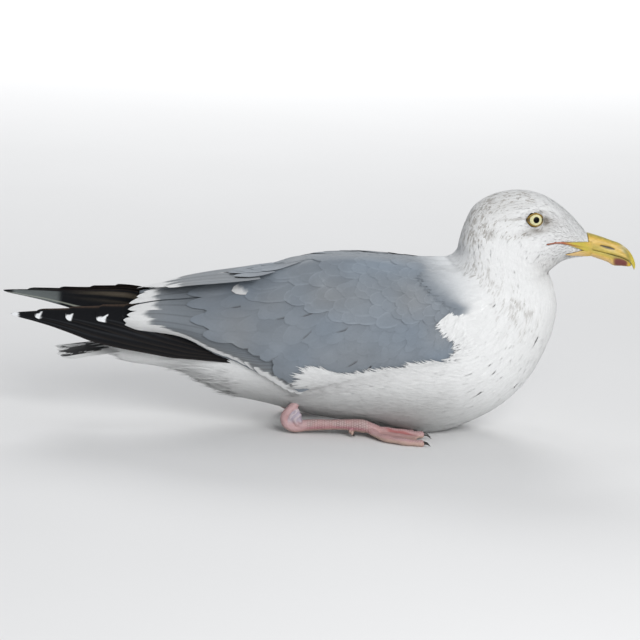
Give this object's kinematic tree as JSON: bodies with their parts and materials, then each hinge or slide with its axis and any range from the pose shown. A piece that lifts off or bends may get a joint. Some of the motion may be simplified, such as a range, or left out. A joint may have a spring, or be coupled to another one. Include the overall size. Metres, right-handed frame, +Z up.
{
  "type": "herring gull",
  "caption": "Life-size still model of a herring gull resting on its belly, wings folded, feet flat beside it.",
  "frame": {"origin": "on the floor, under the middle of the whole length from bill tip to wing tip and midway between the feet", "axes": "+X the way the bird faces, +Y its left side, +Z up; it rests on z = 0"},
  "size_m": [0.5777, 0.163, 0.2249],
  "materials": {
    "white_plumage": "soft matt white feathers",
    "grey_plumage": "smooth satin blue-grey feathers",
    "black_plumage": "satin black flight feathers with white tips",
    "bill": "smooth waxy yellow horn with a red spot and pale tip",
    "eye": "wet, clear, pale yellow iris and black pupil",
    "leg_skin": "scaly pink skin, slightly waxy",
    "claw": "smooth dark horn"
  },
  "bodies": {
    "root": {"head": "white_plumage", "neck": "white_plumage", "trunk": "white_plumage", "tail": "white_plumage", "wing_right": "grey_plumage", "wing_left": "grey_plumage", "tertials_right": "grey_plumage", "tertials_left": "grey_plumage", "primaries_right": "black_plumage", "primaries_left": "black_plumage", "bill_upper": "bill", "bill_lower": "bill", "eye_right": "eye", "eye_left": "eye", "leg_right": "leg_skin", "leg_left": "leg_skin", "foot_right": "leg_skin", "foot_left": "leg_skin", "claw_right_inner": "claw", "claw_right_middle": "claw", "claw_right_outer": "claw", "claw_right_hind": "claw", "claw_left_inner": "claw", "claw_left_middle": "claw", "claw_left_outer": "claw", "claw_left_hind": "claw"}
  },
  "joints": []
}
